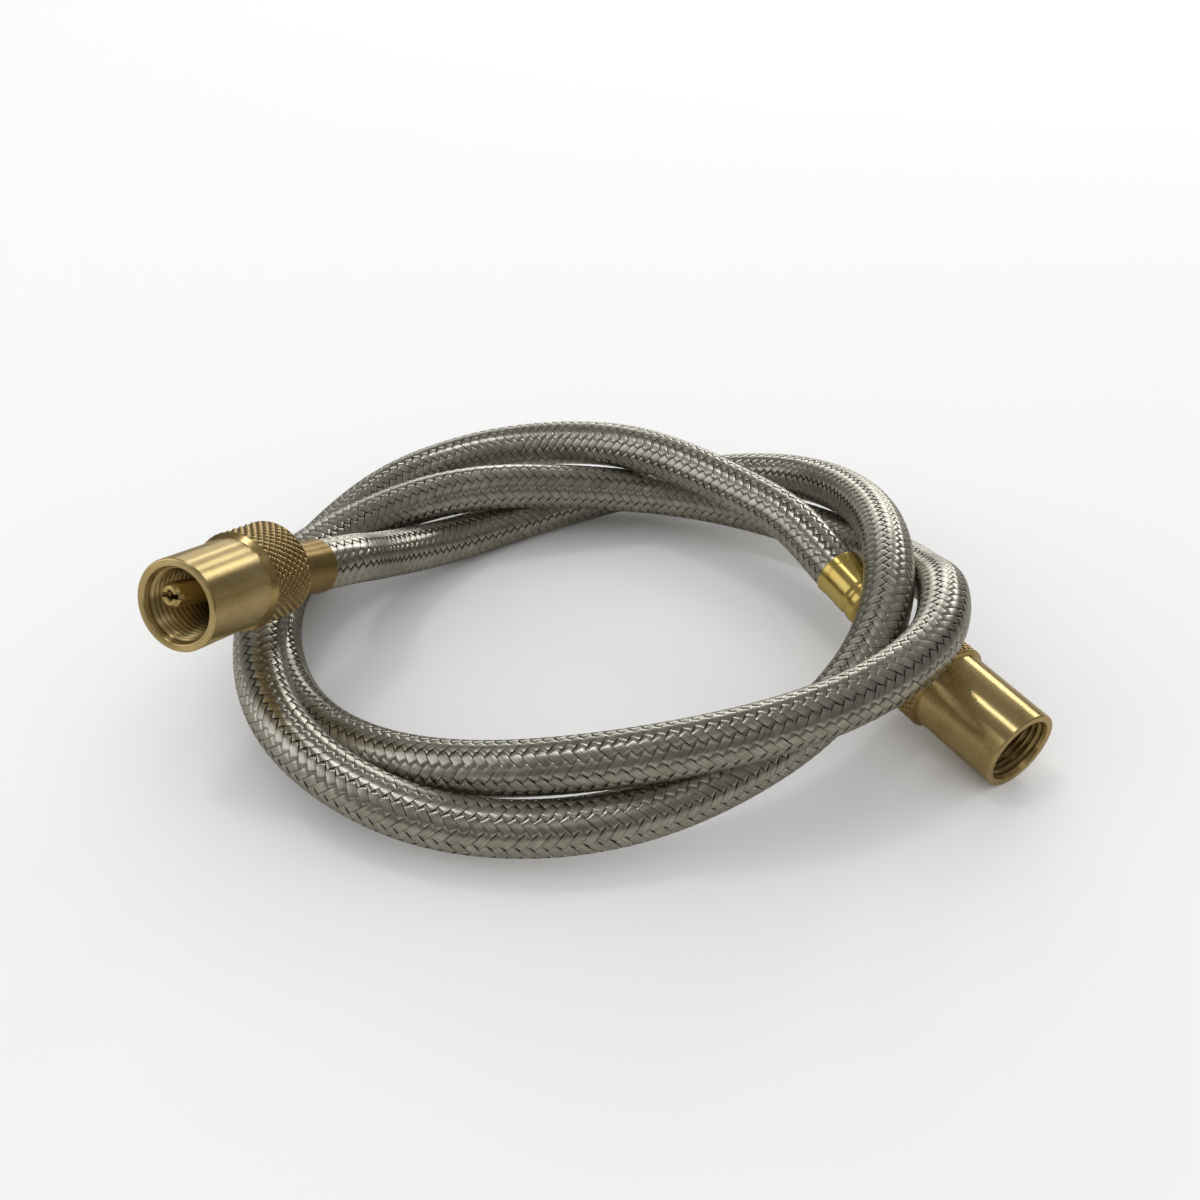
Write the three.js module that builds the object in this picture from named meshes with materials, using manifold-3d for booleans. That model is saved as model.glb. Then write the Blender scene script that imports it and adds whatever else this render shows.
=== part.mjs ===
import * as THREE from 'three';
import Module from 'manifold-3d';
import { mergeVertices } from 'three/addons/utils/BufferGeometryUtils.js';

// Braided gas hose in a loose two-and-a-half-turn coil, with a swivel coupling
// at each end. Millimetres, +Z up, resting surface at z = 0.

// ---- hose ----
const BRAID_R = 5.9;          // outside of the steel braid
const BRAID_BORE_R = 5.3;
const LINER_R = 5.0;          // outside of the gas tube inside the braid
const LINER_BORE_R = 3.0;
const HOSE_SIDES = 10;

// ---- ferrules ----
const GAP = 0.3;
const LEFT_FERRULE_LEN = 12.3;
const RIGHT_FERRULE_LEN = 14.3;
const LINER_SHORT = 3.1;      // liner's end behind each ferrule's front face
const FERRULE_R = 6.15;
const FERRULE_BORE_R = 5.3;
const FERRULE_WALL = 2.0;     // closed front end, round the stem
const FERRULE_HOLE_R = 3.0;

// ---- stems ----
const BARB_R = 2.6;
const STEM_BORE_R = 1.6;
const NECK_R = 3.5;
const FLANGE_R = 6.3;
const FLANGE_LEN = 2.5;
const FLANGE_SET = 2.25;      // flange back face ahead of the middle of the nut's rear wall

// ---- seal washers ----
const WASHER_R = 6.0;
const WASHER_BORE_R = 3.2;
const WASHER_LEN = 2.0;

// ---- probe of the left end ----
const PROBE_R = 2.7;
const PROBE_SHANK_R = 2.3;
const PROBE_SOCKET_R = 2.6;
const PROBE_SOCKET_DEPTH = 6.0;
const PROBE_BORE_R = 1.0;
const PROBE_CHAMFER = 0.7;
const SLOT_WIDTH = 1.0;
const SLOT_DEPTH = 1.6;

// ---- coupling nuts ----
const BAND_R = 11.0;
const LEFT_BAND_LEN = 12.2;
const LEFT_BAND_SLOPE = 1.2;  // cone between the band and the nose
const RIGHT_BAND_LEN = 10.9;
const RIGHT_BAND_SLOPE = 0.5;
const BAND_CHAMFER = 0.8;
const NOSE_R = 9.9;
const REAR_WALL = 2.5;
const REAR_HOLE_R = 5.2;
const CHAMBER_R = 7.95;
const CHAMBER_END = 9.0;
const THREAD_MINOR_R = 7.3;
const LEAD_R = 8.05;
const LEAD_LEN = 1.0;
const LEFT_NUT_LEN = 31.836;
const RIGHT_NUT_LEN = 33.836;

// ---- placement: hose end planes, stem directions, nut rear centres and axes ----
const LEFT_END = [-51.656, -44.774, 31.720];
const LEFT_DIR = [0.078094, -0.936616, 0.341544];
const LEFT_WALL_AT = 16.518;   // hose end to the middle of the nut's rear wall
const LEFT_TIP_AT = 45.889;    // hose end to the probe's tip
const LEFT_NUT_AT = [-51.172, -58.859, 38.140];
const LEFT_NUT_AXIS = [0.201110, -0.939849, 0.276114];
const RIGHT_END = [34.744, 47.186, 20.883];
const RIGHT_DIR = [0.911810, -0.360757, -0.196102];
const RIGHT_WALL_AT = 32.900;
const RIGHT_NUT_AT = [63.176, 34.837, 13.678];
const RIGHT_NUT_AXIS = [0.946267, -0.302150, -0.115254];

// Centre line of the hose, left end to right end.
const ROUTE = [
  [-51.656, -44.774, 31.720], [-52.579, -33.704, 27.683], [-57.163, -24.042, 21.565],
  [-60.741, -12.615, 15.576], [-62.218, 1.381, 10.162], [-61.391, 14.869, 7.011],
  [-57.868, 30.875, 5.889], [-51.477, 48.683, 6.017], [-44.031, 62.164, 7.029],
  [-35.019, 72.581, 8.795], [-24.695, 80.267, 11.159], [-13.996, 84.842, 13.949],
  [-3.443, 86.211, 16.894], [7.086, 84.382, 19.937], [17.916, 79.191, 23.252],
  [29.048, 70.283, 26.778], [39.909, 57.866, 29.882], [48.584, 44.778, 31.103],
  [55.008, 32.277, 29.731], [59.013, 19.688, 26.477], [60.137, 5.922, 22.335],
  [58.322, -9.032, 18.247], [53.208, -25.569, 14.798], [45.646, -41.290, 12.191],
  [36.345, -54.174, 10.738], [25.245, -64.647, 10.149], [13.038, -72.350, 10.279],
  [0.162, -77.031, 11.159], [-13.259, -78.750, 12.595], [-26.243, -77.569, 14.064],
  [-38.176, -73.373, 15.481], [-49.652, -65.818, 16.919], [-60.448, -55.245, 18.005],
  [-68.599, -43.636, 18.156], [-73.558, -31.592, 17.500], [-75.510, -18.901, 16.762],
  [-74.565, -5.884, 16.852], [-70.685, 7.109, 17.906], [-63.156, 20.627, 18.682],
  [-51.985, 35.879, 17.482], [-39.971, 50.906, 14.438], [-28.355, 62.551, 12.075],
  [-16.963, 69.810, 10.803], [-4.564, 74.162, 10.270], [8.533, 75.725, 10.665],
  [21.617, 74.493, 12.215], [34.071, 70.575, 15.041], [45.243, 64.170, 18.956],
  [54.881, 55.022, 23.536], [63.425, 43.124, 29.724], [69.266, 31.166, 31.889],
  [72.066, 20.706, 31.984], [71.808, 9.431, 31.369], [68.339, -3.829, 30.006],
  [61.405, -18.095, 28.267], [51.304, -31.925, 26.169], [38.715, -44.232, 23.216],
  [24.265, -54.359, 19.342], [8.854, -61.674, 15.215], [-6.352, -65.776, 11.688],
  [-20.840, -66.750, 9.069], [-34.574, -64.740, 7.305], [-47.868, -59.675, 6.292],
  [-60.889, -51.464, 5.940], [-72.398, -40.815, 5.929], [-81.291, -28.496, 5.936],
  [-87.794, -14.095, 5.969], [-91.700, 1.017, 6.724], [-92.587, 14.043, 8.405],
  [-90.485, 25.159, 10.416], [-85.421, 35.145, 12.747], [-77.597, 43.866, 15.592],
  [-67.070, 50.845, 18.699], [-53.605, 55.926, 22.067], [-37.912, 58.811, 24.928],
  [-20.083, 59.421, 25.854], [-0.742, 57.737, 25.545], [17.220, 54.120, 24.652],
  [34.744, 47.186, 20.883],
];

const wasm = await Module();
wasm.setup();

const BRASS = { color: 0xb39b5f, roughness: 0.34, metalness: 1.0 };
const KNURLED_BRASS = { color: 0xa08a55, roughness: 0.42, metalness: 1.0 };
const BRIGHT_BRASS = { color: 0xd2b565, roughness: 0.3, metalness: 1.0 };
const STEEL_BRAID = { color: 0x8f8c82, roughness: 0.36, metalness: 1.0 };
const RUBBER = { color: 0x1d1d1e, roughness: 0.8, metalness: 0.0 };

function mesh(name, geometry, look) {
  const m = new THREE.Mesh(geometry, new THREE.MeshStandardMaterial(look));
  m.name = name;
  return m;
}

// Solid of revolution about local Z from a closed [radius, z] profile.
function turned(profile, segments = 40) {
  const pts = profile.map(([r, z]) => new THREE.Vector2(r, z));
  pts.push(pts[0].clone());
  const g = new THREE.LatheGeometry(pts, segments);
  g.rotateX(Math.PI / 2);
  return weld(g);
}

function weld(g) {
  g.deleteAttribute('normal');
  g.deleteAttribute('uv');
  return mergeVertices(g, 1e-5);
}

function toManifold(g) {
  const w = weld(g.clone());
  return new wasm.Manifold(new wasm.Mesh({
    numProp: 3,
    vertProperties: new Float32Array(w.attributes.position.array),
    triVerts: new Uint32Array(w.index.array),
  }));
}

function fromManifold(m) {
  const out = m.getMesh();
  const g = new THREE.BufferGeometry();
  g.setAttribute('position', new THREE.BufferAttribute(new Float32Array(out.vertProperties), 3));
  g.setIndex(new THREE.BufferAttribute(new Uint32Array(out.triVerts), 1));
  return g;
}

function cut(a, b) {
  return fromManifold(toManifold(a).subtract(toManifold(b)));
}

// Path with its stations exactly on the listed points.
class Stations extends THREE.Curve {
  constructor(points) {
    super();
    this.points = points;
  }
  getPoint(t, out = new THREE.Vector3()) {
    const n = this.points.length - 1;
    const f = Math.min(Math.max(t, 0), 1) * n;
    const i = Math.min(Math.floor(f), n - 1);
    return out.copy(this.points[i]).lerp(this.points[i + 1], f - i);
  }
  getPointAt(u, out) {
    return this.getPoint(u, out);
  }
  getTangentAt(u, out = new THREE.Vector3()) {
    const n = this.points.length - 1;
    const i = Math.round(u * n);
    const a = this.points[Math.max(i - 1, 0)];
    const b = this.points[i];
    const c = this.points[Math.min(i + 1, n)];
    out.set(0, 0, 0);
    if (i > 0) out.add(b.clone().sub(a).normalize());
    if (i < n) out.add(c.clone().sub(b).normalize());
    return out.normalize();
  }
  getTangent(u, out) {
    return this.getTangentAt(u, out);
  }
  getSpacedPoints(n) {
    return this.points.map((p) => p.clone());
  }
}

function ring(path, radius) {
  for (let i = 0; i < HOSE_SIDES; i++) {
    const a = (i / HOSE_SIDES) * Math.PI * 2;
    const x = Math.cos(a) * radius;
    const y = Math.sin(a) * radius;
    if (i === 0) path.moveTo(x, y);
    else path.lineTo(x, y);
  }
  path.closePath();
  return path;
}

function hollowTube(points, outer, inner) {
  const shape = ring(new THREE.Shape(), outer);
  shape.holes.push(ring(new THREE.Path(), inner));
  return weld(new THREE.ExtrudeGeometry(shape, {
    steps: points.length - 1,
    bevelEnabled: false,
    extrudePath: new Stations(points),
  }));
}

const vec = (a) => new THREE.Vector3(a[0], a[1], a[2]);
const route = ROUTE.map(vec);

// A group at a point, with its local +Z along a direction.
function placed(origin, direction) {
  const g = new THREE.Group();
  g.position.copy(vec(origin));
  g.quaternion.setFromUnitVectors(new THREE.Vector3(0, 0, 1), vec(direction).normalize());
  return g;
}

const group = new THREE.Group();

// ---- hose: braid outside, gas tube inside it, running into both ferrules ----
group.add(mesh('hose_braid', hollowTube(route, BRAID_R, BRAID_BORE_R), STEEL_BRAID));

const leftIn = vec(LEFT_END).addScaledVector(vec(LEFT_DIR), LEFT_FERRULE_LEN - LINER_SHORT);
const rightIn = vec(RIGHT_END).addScaledVector(vec(RIGHT_DIR), RIGHT_FERRULE_LEN - LINER_SHORT);
group.add(mesh('hose_liner', hollowTube([leftIn, ...route, rightIn], LINER_R, LINER_BORE_R), RUBBER));

// ---- ferrule crimped over each hose end ----
function leftFerrule() {
  const front = LEFT_FERRULE_LEN;
  return turned([
    [FERRULE_BORE_R, GAP + 0.2],
    [FERRULE_BORE_R + 0.2, GAP],
    [FERRULE_R - 0.25, GAP],
    [FERRULE_R, GAP + 0.25],
    [FERRULE_R, front - 1.2],
    [FERRULE_R - 0.4, front - 0.4],
    [FERRULE_R - 1.3, front],
    [FERRULE_HOLE_R, front],
    [FERRULE_HOLE_R, front - FERRULE_WALL],
    [FERRULE_BORE_R, front - FERRULE_WALL],
  ]);
}

function rightFerrule() {
  const front = RIGHT_FERRULE_LEN;
  return turned([
    [FERRULE_BORE_R, GAP + 0.2],
    [FERRULE_BORE_R + 0.2, GAP],
    [FERRULE_R - 0.35, GAP],
    [FERRULE_R - 0.1, GAP + 0.25],
    [FERRULE_R - 0.1, front - 4.6],
    [FERRULE_R - 0.45, front - 4.1],
    [FERRULE_R - 0.45, front - 3.4],
    [FERRULE_R, front - 2.8],
    [FERRULE_R, front - 1.4],
    [FERRULE_R - 0.4, front - 0.5],
    [FERRULE_R - 1.3, front],
    [FERRULE_HOLE_R, front],
    [FERRULE_HOLE_R, front - FERRULE_WALL],
    [FERRULE_BORE_R, front - FERRULE_WALL],
  ]);
}

// ---- stem: barb, neck and flange; the flange holds the nut on ----
function stem(wallAt, ferruleLen, socket, nozzle) {
  const start = 0.8;
  const shoulder = ferruleLen + GAP;
  const flangeBack = wallAt + FLANGE_SET;
  const flangeFront = flangeBack + FLANGE_LEN;
  const outline = [
    [STEM_BORE_R, start],
    [BARB_R - 0.5, start],
    [BARB_R, start + 2.6],
    [BARB_R - 0.35, start + 2.9],
    [BARB_R, start + 5.8],
    [BARB_R - 0.35, start + 6.1],
    [BARB_R, start + 9.0],
    [BARB_R, shoulder],
    [NECK_R + 0.9, shoulder],
    [NECK_R + 0.9, shoulder + 1.2],
    [NECK_R, shoulder + 1.9],
    [NECK_R, flangeBack - 0.3],
    [NECK_R + 0.3, flangeBack],
    [FLANGE_R - 0.25, flangeBack],
    [FLANGE_R, flangeBack + 0.25],
    [FLANGE_R, flangeFront - 0.25],
    [FLANGE_R - 0.25, flangeFront],
  ];
  if (socket) {
    outline.push([PROBE_SOCKET_R, flangeFront], [PROBE_SOCKET_R, flangeFront - socket], [STEM_BORE_R, flangeFront - socket]);
  } else {
    outline.push([PROBE_R, flangeFront], [PROBE_R, flangeFront + nozzle - 0.5], [PROBE_R - 0.5, flangeFront + nozzle], [STEM_BORE_R, flangeFront + nozzle]);
  }
  return turned(outline, 32);
}

function washer(wallAt) {
  const back = wallAt + FLANGE_SET + FLANGE_LEN + GAP;
  return turned([
    [WASHER_BORE_R, back],
    [WASHER_R - 0.2, back],
    [WASHER_R, back + 0.2],
    [WASHER_R, back + WASHER_LEN - 0.2],
    [WASHER_R - 0.2, back + WASHER_LEN],
    [WASHER_BORE_R, back + WASHER_LEN],
  ], 32);
}

// ---- probe: a tube screwed into the stem, with a screwdriver slot at its tip ----
function probe(wallAt, tipAt) {
  const seat = wallAt + FLANGE_SET + FLANGE_LEN + GAP;
  const foot = seat - PROBE_SOCKET_DEPTH;
  const tube = turned([
    [PROBE_BORE_R, foot],
    [PROBE_SHANK_R, foot],
    [PROBE_SHANK_R, seat],
    [PROBE_R, seat],
    [PROBE_R, tipAt - PROBE_CHAMFER],
    [PROBE_R - PROBE_CHAMFER, tipAt],
    [PROBE_BORE_R + 0.25, tipAt],
    [PROBE_BORE_R, tipAt - 0.25],
  ], 32);
  const slot = new THREE.BoxGeometry(SLOT_WIDTH, 4 * PROBE_R, 2 * SLOT_DEPTH);
  slot.translate(0, 0, tipAt);
  slot.rotateZ(1.811);
  return cut(tube, slot);
}

// ---- coupling nut: knurled band at the rear, plain nose with the thread inside ----
function couplingNut(length, bandLen, slope) {
  return turned([
    [REAR_HOLE_R, 0.3],
    [REAR_HOLE_R + 0.3, 0],
    [BAND_R - BAND_CHAMFER, 0],
    [BAND_R, BAND_CHAMFER],
    [BAND_R, bandLen],
    [NOSE_R, bandLen + slope],
    [NOSE_R, length - 0.4],
    [NOSE_R - 0.4, length],
    [LEAD_R + 0.3, length],
    [LEAD_R, length - 0.3],
    [LEAD_R, length - LEAD_LEN],
    [THREAD_MINOR_R, length - LEAD_LEN - 0.75],
    [THREAD_MINOR_R, CHAMBER_END],
    [CHAMBER_R, CHAMBER_END - 0.65],
    [CHAMBER_R, REAR_WALL],
    [REAR_HOLE_R, REAR_WALL],
  ], 48);
}

const leftFitting = placed(LEFT_END, LEFT_DIR);
leftFitting.add(mesh('left_ferrule', leftFerrule(), BRASS));
leftFitting.add(mesh('left_stem', stem(LEFT_WALL_AT, LEFT_FERRULE_LEN, PROBE_SOCKET_DEPTH, 0), BRASS));
leftFitting.add(mesh('left_seal_washer', washer(LEFT_WALL_AT), RUBBER));
leftFitting.add(mesh('left_probe', probe(LEFT_WALL_AT, LEFT_TIP_AT), BRASS));
group.add(leftFitting);

const leftNut = placed(LEFT_NUT_AT, LEFT_NUT_AXIS);
leftNut.add(mesh('left_coupling_nut', couplingNut(LEFT_NUT_LEN, LEFT_BAND_LEN, LEFT_BAND_SLOPE), KNURLED_BRASS));
group.add(leftNut);

const rightFitting = placed(RIGHT_END, RIGHT_DIR);
rightFitting.add(mesh('right_ferrule', rightFerrule(), BRIGHT_BRASS));
rightFitting.add(mesh('right_stem', stem(RIGHT_WALL_AT, RIGHT_FERRULE_LEN, 0, 4.5), BRASS));
rightFitting.add(mesh('right_seal_washer', washer(RIGHT_WALL_AT), RUBBER));
group.add(rightFitting);

const rightNut = placed(RIGHT_NUT_AT, RIGHT_NUT_AXIS);
rightNut.add(mesh('right_coupling_nut', couplingNut(RIGHT_NUT_LEN, RIGHT_BAND_LEN, RIGHT_BAND_SLOPE), KNURLED_BRASS));
group.add(rightNut);

export default group;
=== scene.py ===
import math
import bpy
import numpy as np
from mathutils import Matrix, Vector


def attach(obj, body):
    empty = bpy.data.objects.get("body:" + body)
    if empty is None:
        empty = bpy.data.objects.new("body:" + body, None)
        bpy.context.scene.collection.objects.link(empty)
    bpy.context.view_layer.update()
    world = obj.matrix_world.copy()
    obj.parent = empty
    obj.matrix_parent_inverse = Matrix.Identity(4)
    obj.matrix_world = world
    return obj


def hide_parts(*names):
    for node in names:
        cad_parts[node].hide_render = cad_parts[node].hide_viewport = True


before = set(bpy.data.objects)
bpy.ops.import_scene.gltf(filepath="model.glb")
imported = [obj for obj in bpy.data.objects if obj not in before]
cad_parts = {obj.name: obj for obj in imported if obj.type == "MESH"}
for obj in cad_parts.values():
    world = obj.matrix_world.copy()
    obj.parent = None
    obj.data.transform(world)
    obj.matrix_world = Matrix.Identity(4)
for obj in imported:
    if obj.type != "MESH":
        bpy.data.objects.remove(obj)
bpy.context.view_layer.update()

# ------------------------------------------------------------------ sizes, mm
MM = 0.001
HOSE_R = 6.0
ROUTE = [
    (-51.656, -44.774, 31.720), (-52.579, -33.704, 27.683), (-57.163, -24.042, 21.565),
    (-60.741, -12.615, 15.576), (-62.218, 1.381, 10.162), (-61.391, 14.869, 7.011),
    (-57.868, 30.875, 5.889), (-51.477, 48.683, 6.017), (-44.031, 62.164, 7.029),
    (-35.019, 72.581, 8.795), (-24.695, 80.267, 11.159), (-13.996, 84.842, 13.949),
    (-3.443, 86.211, 16.894), (7.086, 84.382, 19.937), (17.916, 79.191, 23.252),
    (29.048, 70.283, 26.778), (39.909, 57.866, 29.882), (48.584, 44.778, 31.103),
    (55.008, 32.277, 29.731), (59.013, 19.688, 26.477), (60.137, 5.922, 22.335),
    (58.322, -9.032, 18.247), (53.208, -25.569, 14.798), (45.646, -41.290, 12.191),
    (36.345, -54.174, 10.738), (25.245, -64.647, 10.149), (13.038, -72.350, 10.279),
    (0.162, -77.031, 11.159), (-13.259, -78.750, 12.595), (-26.243, -77.569, 14.064),
    (-38.176, -73.373, 15.481), (-49.652, -65.818, 16.919), (-60.448, -55.245, 18.005),
    (-68.599, -43.636, 18.156), (-73.558, -31.592, 17.500), (-75.510, -18.901, 16.762),
    (-74.565, -5.884, 16.852), (-70.685, 7.109, 17.906), (-63.156, 20.627, 18.682),
    (-51.985, 35.879, 17.482), (-39.971, 50.906, 14.438), (-28.355, 62.551, 12.075),
    (-16.963, 69.810, 10.803), (-4.564, 74.162, 10.270), (8.533, 75.725, 10.665),
    (21.617, 74.493, 12.215), (34.071, 70.575, 15.041), (45.243, 64.170, 18.956),
    (54.881, 55.022, 23.536), (63.425, 43.124, 29.724), (69.266, 31.166, 31.889),
    (72.066, 20.706, 31.984), (71.808, 9.431, 31.369), (68.339, -3.829, 30.006),
    (61.405, -18.095, 28.267), (51.304, -31.925, 26.169), (38.715, -44.232, 23.216),
    (24.265, -54.359, 19.342), (8.854, -61.674, 15.215), (-6.352, -65.776, 11.688),
    (-20.840, -66.750, 9.069), (-34.574, -64.740, 7.305), (-47.868, -59.675, 6.292),
    (-60.889, -51.464, 5.940), (-72.398, -40.815, 5.929), (-81.291, -28.496, 5.936),
    (-87.794, -14.095, 5.969), (-91.700, 1.017, 6.724), (-92.587, 14.043, 8.405),
    (-90.485, 25.159, 10.416), (-85.421, 35.145, 12.747), (-77.597, 43.866, 15.592),
    (-67.070, 50.845, 18.699), (-53.605, 55.926, 22.067), (-37.912, 58.811, 24.928),
    (-20.083, 59.421, 25.854), (-0.742, 57.737, 25.545), (17.220, 54.120, 24.652),
    (34.744, 47.186, 20.883),
]
LEFT_END = (-51.656, -44.774, 31.720)
LEFT_DIR = (0.078094, -0.936616, 0.341544)
LEFT_FERRULE_LEN = 12.3
RIGHT_FERRULE_LEN = 14.3
LEFT_WALL_AT = 16.518
LEFT_TIP_AT = 45.889
LEFT_NUT_AT = (-51.172, -58.859, 38.140)
LEFT_NUT_AXIS = (0.201110, -0.939849, 0.276114)
LEFT_NUT_LEN = 31.836
RIGHT_END = (34.744, 47.186, 20.883)
RIGHT_DIR = (0.911810, -0.360757, -0.196102)
RIGHT_WALL_AT = 32.900
RIGHT_NUT_AT = (63.176, 34.837, 13.678)
RIGHT_NUT_AXIS = (0.946267, -0.302150, -0.115254)
RIGHT_NUT_LEN = 33.836

# camera, in the row frame
CAM_AT = (161.997, -230.771, 214.556)
CAM_RIGHT = (0.795515, 0.605032, 0.033036)
CAM_DOWN = (0.356465, -0.423210, -0.832962)
CAM_FWD = (-0.489988, 0.674410, -0.552343)
CAM_F, CAM_CX, CAM_CY = 1437.230, 593.231, 576.823

# ------------------------------------------------------------------ camera
cam_data = bpy.data.cameras.new("camera")
cam_data.sensor_fit = "HORIZONTAL"
cam_data.sensor_width = 36.0
cam_data.lens = CAM_F / 1200.0 * 36.0
cam_data.shift_x = (600.0 - CAM_CX) / 1200.0
cam_data.shift_y = (CAM_CY - 600.0) / 1200.0
cam_data.clip_start = 0.01
cam_data.clip_end = 50.0
camera = bpy.data.objects.new("camera", cam_data)
bpy.context.scene.collection.objects.link(camera)
r_, d_, f_ = Vector(CAM_RIGHT), Vector(CAM_DOWN), Vector(CAM_FWD)
m = Matrix.Identity(4)
for i in range(3):
    m[i][0], m[i][1], m[i][2], m[i][3] = r_[i], -d_[i], -f_[i], CAM_AT[i] * MM
camera.matrix_world = m
bpy.context.scene.camera = camera


# ------------------------------------------------------------------ helpers
def srgb(r, g, b):
    def lin(c):
        c = c / 255.0
        return c / 12.92 if c <= 0.04045 else ((c + 0.055) / 1.055) ** 2.4

    return (lin(r), lin(g), lin(b), 1.0)


def unit(a):
    a = np.asarray(a, float)
    return a / np.linalg.norm(a)


def basis(direction):
    z = unit(direction)
    x = np.cross((0.0, 0.0, 1.0), z)
    x = unit(x) if np.linalg.norm(x) > 1e-6 else np.array((1.0, 0.0, 0.0))
    return np.stack([x, np.cross(z, x), z], axis=1)


def make(name, verts, faces, mat, smooth=True, uvs=None, attrs=None, sharp=None):
    """verts in mm; faces an (n, 4) or (n, 3) array; uvs per corner."""
    verts = np.asarray(verts, np.float32) * MM
    faces = np.asarray(faces, np.int32)
    me = bpy.data.meshes.new(name)
    n, k = faces.shape
    me.vertices.add(len(verts))
    me.vertices.foreach_set("co", verts.ravel())
    me.loops.add(n * k)
    me.loops.foreach_set("vertex_index", faces.ravel())
    me.polygons.add(n)
    me.polygons.foreach_set("loop_start", np.arange(0, n * k, k, dtype=np.int32))
    me.polygons.foreach_set("loop_total", np.full(n, k, np.int32))
    me.update(calc_edges=True)
    if uvs is not None:
        layer = me.uv_layers.new(name="surface")
        layer.data.foreach_set("uv", np.asarray(uvs, np.float32).ravel())
    for key, values in (attrs or {}).items():
        a = me.attributes.new(key, "FLOAT", "POINT")
        a.data.foreach_set("value", np.asarray(values, np.float32).ravel())
    me.polygons.foreach_set("use_smooth", np.full(n, smooth))
    me.materials.append(mat)
    me.validate()
    if sharp is not None:
        me.set_sharp_from_angle(angle=math.radians(sharp))
    ob = bpy.data.objects.new(name, me)
    bpy.context.scene.collection.objects.link(ob)
    return ob


def arc(cx, cz, r, a0, a1, n):
    """Points of a circle arc in the [radius, z] plane, degrees."""
    return [
        (cx + r * math.cos(math.radians(a)), cz + r * math.sin(math.radians(a)))
        for a in np.linspace(a0, a1, n)
    ]


def subdivided(profile, step):
    """A closed [radius, z] profile with no segment longer than step."""
    out = []
    for i in range(len(profile)):
        a, b = np.array(profile[i], float), np.array(profile[(i + 1) % len(profile)], float)
        n = max(1, int(math.ceil(np.linalg.norm(b - a) / step)))
        for j in range(n):
            out.append(tuple(a + (b - a) * j / n))
    return out


def revolve(name, profile, segs, origin, direction, mat, bump=None, attrs=None, sharp=32, body="hose", step=None, twist=0.0):
    """Solid of revolution from a closed profile; bump(r, z, theta) gives the radial offset of each point, and its
    relief, which the shader darkens as painted shade in the hollows.
    """
    prof = np.array(subdivided(profile, step) if step else profile, float)
    th = np.linspace(0, 2 * math.pi, segs, endpoint=False) + twist
    rr = np.repeat(prof[:, 0][None], segs, 0)
    zz = np.repeat(prof[:, 1][None], segs, 0)
    tt = np.repeat(th[:, None], len(prof), 1)
    h = np.ones_like(rr)
    if bump is not None:
        dr, h = bump(rr, zz, tt)
        rr = rr + dr
    local = np.stack([rr * np.cos(tt), rr * np.sin(tt), zz], -1).reshape(-1, 3)
    P = np.asarray(origin, float) + local @ basis(direction).T
    n = len(prof)
    i, j = np.meshgrid(np.arange(segs), np.arange(n), indexing="ij")
    i2, j2 = (i + 1) % segs, (j + 1) % n
    faces = np.stack([i * n + j, i2 * n + j, i2 * n + j2, i * n + j2], -1).reshape(-1, 4)
    # arc length along the profile and angle as the surface's own coordinates
    d = np.r_[0, np.cumsum(np.linalg.norm(np.diff(np.vstack([prof, prof[:1]]), axis=0), axis=1))]
    u0, u1 = i / segs, (i + 1) / segs
    v0, v1 = d[j], d[j + 1]
    uv = np.stack([np.stack([u0, v0], -1), np.stack([u1, v0], -1), np.stack([u1, v1], -1), np.stack([u0, v1], -1)], 2).reshape(-1, 2)
    # the relief also drives the painted shade in the hollows
    at = {"shade_relief": h.reshape(-1)}
    # signed area decides which way the faces look
    x, y = prof[:, 0], prof[:, 1]
    if np.sum(x * np.roll(y, -1) - np.roll(x, -1) * y) < 0:
        faces = faces[:, ::-1]
        uv = uv.reshape(-1, 4, 2)[:, ::-1].reshape(-1, 2)
    ob = make(name, P, faces, mat, uvs=uv, attrs=at, sharp=sharp)
    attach(ob, body)
    return ob


# ------------------------------------------------------------------ materials
def new_material(name):
    mat = bpy.data.materials.new(name)
    mat.use_nodes = True
    nt = mat.node_tree
    for n in list(nt.nodes):
        nt.nodes.remove(n)
    out = nt.nodes.new("ShaderNodeOutputMaterial")
    p = nt.nodes.new("ShaderNodeBsdfPrincipled")
    nt.links.new(p.outputs[0], out.inputs[0])
    return mat, nt, p


def node(nt, kind, **kw):
    n = nt.nodes.new(kind)
    for k, v in kw.items():
        if k in ("inputs",):
            for key, val in v.items():
                n.inputs[key].default_value = val
        else:
            setattr(n, k, v)
    return n


def maths(nt, op, a, b=None, clamp=False):
    n = nt.nodes.new("ShaderNodeMath")
    n.operation = op
    n.use_clamp = clamp
    for i, x in enumerate((a, b)):
        if x is None:
            continue
        if isinstance(x, (int, float)):
            n.inputs[i].default_value = x
        else:
            nt.links.new(x, n.inputs[i])
    return n.outputs[0]


def ramp(nt, fac, stops):
    n = nt.nodes.new("ShaderNodeValToRGB")
    e = n.color_ramp.elements
    e[0].position, e[0].color = stops[0]
    e[1].position, e[1].color = stops[-1]
    for pos, col in stops[1:-1]:
        x = e.new(pos)
        x.color = col
    nt.links.new(fac, n.inputs[0])
    return n.outputs[0]


def mix_colour(nt, fac, a, b, mode="MIX"):
    n = nt.nodes.new("ShaderNodeMix")
    n.data_type = "RGBA"
    n.blend_type = mode
    for sock, x in ((n.inputs[0], fac), (n.inputs[6], a), (n.inputs[7], b)):
        if isinstance(x, (int, float, tuple)):
            sock.default_value = x
        else:
            nt.links.new(x, sock)
    return n.outputs[2]


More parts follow.
